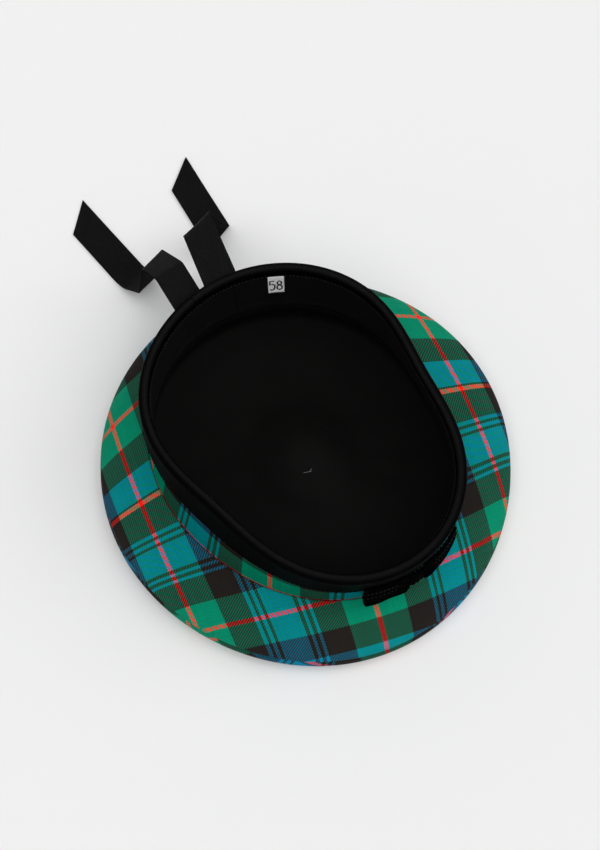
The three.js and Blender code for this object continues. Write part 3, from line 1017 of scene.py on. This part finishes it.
def cockade_piece(name):
    """One part of the bow: folded ribbon, pleated in front and flat against the band."""
    table = np.array(COCKADE[name], float)
    first, last = table[0, 0], table[-1, 0]
    places = np.linspace(first, last, int((last - first) / 0.45) + 2)
    ups = np.linspace(-1, 1, 45)
    sections, weave = [], []
    for along in places:
        rise = np.interp(along, table[:, 0], table[:, 1])
        to_end = min(along - first, last - along)
        rounding = math.sqrt(max(1 - (1 - min(to_end / 0.9, 1)) ** 2, 0.02))
        full = cockade_front(name, along, ups)
        edge = np.sqrt(np.clip(1 - (np.abs(ups) / 1.02) ** 16, 0.03, 1))
        front = 0.15 + (full - 0.15) * edge * (0.75 + 0.25 * rounding)
        back = np.linspace(1, -1, 9)
        angle = float(turn_along(COCKADE_DIRECTION, COCKADE_HEIGHT, along))
        heights = COCKADE_HEIGHT + np.append(ups, back) * rise * (0.97 + 0.03 * rounding)
        offs = COCKADE_BACK + np.append(front, np.zeros(9))
        sections.append(wall(np.full(len(offs), angle), heights, offs))
        weave.append(weave_at(np.full(len(offs), along), heights))
    points, faces = turned_out(*loft(sections, False))
    add_piece(
        f"{name}_rep", points, faces, COCKADE_CLOTH, np.concatenate(weave),
        [name])


# ---- stitches
def stitch_bodies(starts, ends, lifts, radius):
    """A short thick thread from each start to each end, bowed up by the lift."""
    sides, rings = 6, 5
    share = np.linspace(0, 1, rings)
    swell = np.sqrt(np.clip(1 - (2 * share - 1) ** 6, 0.1, 1))
    turn = around(sides)
    points, faces = [], []
    for k, (start, end, lift) in enumerate(zip(starts, ends, lifts)):
        along = (end - start) / np.linalg.norm(end - start)
        up = lift / np.linalg.norm(lift)
        side = np.cross(along, up)
        for f, s in zip(share, swell):
            centre = start + (end - start) * f + up * radius * 0.9 * (1 - (2 * f - 1) ** 2)
            points.append(centre + radius * s * (
                np.cos(turn)[:, None] * side + np.sin(turn)[:, None] * up))
        first = k * rings * sides
        faces += grid_faces(rings, sides, False, True, first)
        faces.append([first + i for i in range(sides)][::-1])
        last = first + (rings - 1) * sides
        faces.append([last + i for i in range(sides)])
    points = np.concatenate(points)
    return turned_out(points, faces)


TYPICAL_REACH = 95  # millimetres from the axis to the wall


def stitch_row(name, angles, height, off, length, radius, material):
    """Stitches along the wall at one height and distance out."""
    span = length / 2 / TYPICAL_REACH
    starts = wall(angles - span, height, off)
    ends = wall(angles + span, height, off)
    away = 1.0 if off > 0 else -1.0
    lifts = wall(angles, height, off + away) - wall(angles, height, off)
    points, faces = stitch_bodies(starts, ends, lifts, radius)
    add_piece(name, points, faces, material, points)


def binding_stitches():
    count = 250
    stitch_row(
        "binding_stitches_outside", around(count), RIM_HEIGHT - BINDING_DEPTH - BINDING_SAG + 1.6,
        BINDING_OUT, 1.5, 0.17, DARK_THREAD)
    stitch_row(
        "binding_stitches_inside", around(count, 0.01), RIM_HEIGHT - 6.3, BINDING_IN,
        1.3, 0.15, RIM_THREAD)


def bow_stitch(name, up, along):
    """Start, end and outward way of one stitch on the bow's front."""
    places, rises, _, _ = np.array(COCKADE[name], float).T
    height = COCKADE_HEIGHT + up * np.interp(along, places, rises)
    ends = []
    for place_at in (along - 0.6, along + 0.6):
        angle = float(turn_along(COCKADE_DIRECTION, COCKADE_HEIGHT, place_at))
        out = float(cockade_front(name, place_at, np.array([up]))[0])
        ends.append(wall(angle, height, COCKADE_BACK + out))
    outward = wall(angle, COCKADE_HEIGHT, 2.0) - wall(angle, COCKADE_HEIGHT, 1.0)
    return ends[0], ends[1], outward


def bow_stitches():
    """Two rows of small stitches on the face of each loop of the bow."""
    for name in ("cockade_left", "cockade_right"):
        first, last = COCKADE[name][0][0], COCKADE[name][-1][0]
        stitches = [
            bow_stitch(name, up, along)
            for up in (0.86, 0.3)
            for along in np.arange(first + 1.5, last - 1.5, 2.2)
            if abs(along) >= 12]
        points, faces = stitch_bodies(*zip(*stitches), 0.16)
        add_piece(f"{name}_stitches", points, faces, THREAD, points)


def tack_stitch():
    """The thread that ties the toorie down, seen on the lining's middle."""
    middle = np.array([-7.0, -12.0, 26.2])
    way = np.array([2.7, -1.1, 0.3])
    points, faces = stitch_bodies(
        [middle - way, middle + way * 0.4],
        [middle + way, middle + way + [0.9, 1.5, 0]],
        [np.array([0, 0, 1.0])] * 2, 0.22)
    add_piece("lining_tack", points, faces, TACK, points)


# ---- toorie
TOORIE_MIDDLE = 7.2
STRAND_SIDES = 4
GOLDEN_TURN = 2.39996  # radians from one strand to the next, so that none line up


def toorie_surface(turn, tilt, shrink=0.0):
    """A point of the toorie's outer form, flatter below than above."""
    up = np.sin(tilt)
    tall = np.where(up > 0, TOORIE_HEIGHT - TOORIE_MIDDLE - 0.2, TOORIE_MIDDLE - 0.5) - shrink
    r = (TOORIE_RADIUS - 0.6 - shrink) * np.cos(tilt)
    return np.stack([r * np.cos(turn), r * np.sin(turn), TOORIE_MIDDLE + tall * up], -1)


def toorie_core():
    tilts = np.linspace(-math.pi / 2, math.pi / 2, 20)
    sections = [toorie_surface(turn, tilts, 2.2) for turn in around(40)]
    for section in sections:
        section[[0, -1], :2] = 0
    points, faces = turned_out(*dish(sections))
    shade = np.full((len(points), 3), 0.25)
    add_piece("toorie_core", points, faces, WOOL, shade, ["toorie"])


def strand_points(root, tip):
    """Three rings round a strand of cut wool, thickest near its tip."""
    along = tip - root
    along /= np.linalg.norm(along)
    side = np.cross(along, [0.31, 0.52, 0.79])
    side /= np.linalg.norm(side)
    other = np.cross(along, side)
    ring = around(STRAND_SIDES)
    return [
        root + (tip - root) * f + radius * (
            np.cos(ring)[:, None] * side + np.sin(ring)[:, None] * other)
        for f, radius in ((0, 0.5), (0.75, 0.6), (1, 0.32))]


def toorie_strands():
    """Cut strands of wool standing all over the core."""
    dice = np.random.default_rng(21)
    count = 2600
    tilt = np.arcsin(np.linspace(-0.999, 0.999, count))
    turn = np.arange(count) * GOLDEN_TURN
    tips = toorie_surface(turn, tilt) + dice.normal(0, 0.35, (count, 3))
    tips[:, 2] = np.clip(tips[:, 2], 0.5, None)
    roots = toorie_surface(turn, tilt, 3.6) + dice.normal(0, 0.5, (count, 3))
    points, faces, weave = [], [], []
    for root, tip in zip(roots, tips):
        first = len(points) * STRAND_SIDES
        rings = strand_points(root, tip)
        points += rings
        end = (len(rings) - 1) * STRAND_SIDES
        faces += grid_faces(len(rings), STRAND_SIDES, False, True, first)
        faces.append([first + end + i for i in range(STRAND_SIDES)])
        faces.append([first + i for i in range(STRAND_SIDES)][::-1])
        weave.append(np.full((len(rings) * STRAND_SIDES, 3), dice.uniform(0, 1)))
    add_piece(
        "toorie_strands", np.concatenate(points), faces, WOOL, np.concatenate(weave))


# ---- room
FLOOR_TONE = 0.828
WALL_RADIUS = 14.0  # metres, as the rest of the room
WALL_HEIGHT = 6.0
FLOOR_CURVE = 3.0
CAMERA_AT = (-142.1, -219.7, 684.4)  # millimetres from the crown's middle, as is the next
CAMERA_TO = (2.8, 12.3, 40.0)
CAMERA_LENS = 48.18
SENSOR = 36


def floor():
    """A pale floor that curves up far behind into a low pale wall, all one sheet."""
    rounding = np.linspace(0, math.pi / 2, 13)
    radii = np.concatenate([[0.001, 1, 4], WALL_RADIUS - FLOOR_CURVE * (1 - np.sin(rounding)),
                            [WALL_RADIUS]])
    heights = np.concatenate([[0, 0, 0], FLOOR_CURVE * (1 - np.cos(rounding)), [WALL_HEIGHT]])
    turns = around(96)
    points = np.stack([
        np.outer(np.cos(turns), radii), np.outer(np.sin(turns), radii),
        np.broadcast_to(heights, (len(turns), len(heights)))], -1).reshape(-1, 3)
    mesh = bpy.data.meshes.new("floor")
    faces = grid_faces(len(turns), len(radii), True, False)
    faces.append([i * len(radii) for i in range(len(turns))])
    mesh.from_pydata(points.tolist(), [], faces)
    mesh.shade_smooth()
    sh = Shader("floor_paper")
    cloud = sh.noise(sh.object_place(), 3.0, 2.0)
    tone = sh.spread(cloud, FLOOR_TONE - 0.004, FLOOR_TONE + 0.004)
    colour = sh.node("ShaderNodeCombineColor", inputs={0: tone, 1: tone, 2: tone}).outputs[0]
    sh.set(Base_Color=colour, Roughness=0.9, Specular_IOR_Level=0.1)
    mesh.materials.append(sh.material)
    piece = bpy.data.objects.new("floor", mesh)
    bpy.context.scene.collection.objects.link(piece)


def soft_sun(name, azimuth, elevation, spread_angle, strength):
    """Even light from far off, like a wide soft box."""
    lamp = bpy.data.lights.new(name, "SUN")
    lamp.angle = math.radians(spread_angle)
    lamp.energy = strength
    item = bpy.data.objects.new(name, lamp)
    way = pointing(math.radians(azimuth), math.radians(elevation))
    item.rotation_euler = way.to_track_quat("Z", "Y").to_euler()
    bpy.context.scene.collection.objects.link(item)


def lights():
    soft_sun("overhead", azimuth=245, elevation=74, spread_angle=70, strength=1.95)
    soft_sun("side", azimuth=-25, elevation=38, spread_angle=40, strength=0.8)
    world = bpy.data.worlds.new("room")
    world.use_nodes = True
    background = world.node_tree.nodes["Background"]
    background.inputs["Color"].default_value = (1, 1, 1, 1)
    background.inputs["Strength"].default_value = 0.27
    bpy.context.scene.world = world


def camera():
    data = bpy.data.cameras.new("camera")
    data.lens = CAMERA_LENS
    data.sensor_width = SENSOR
    item = bpy.data.objects.new("camera", data)
    at, to = (Vector(place(v).tolist()) for v in (CAMERA_AT, CAMERA_TO))
    item.location = at
    item.rotation_euler = (to - at).to_track_quat("-Z", "Y").to_euler()
    bpy.context.scene.collection.objects.link(item)
    bpy.context.scene.camera = item
    bpy.context.scene.view_settings.view_transform = "Standard"


def build():
    crown_top()
    crown_underside()
    headband()
    edge_binding()
    sweatband()
    lining()
    size_label()
    printed_number("58")
    for name in RIBBONS:
        ribbon_tail(name)
    for name in COCKADE:
        cockade_piece(name)
    binding_stitches()
    bow_stitches()
    tack_stitch()
    toorie_core()
    toorie_strands()
    floor()
    lights()
    camera()


build()
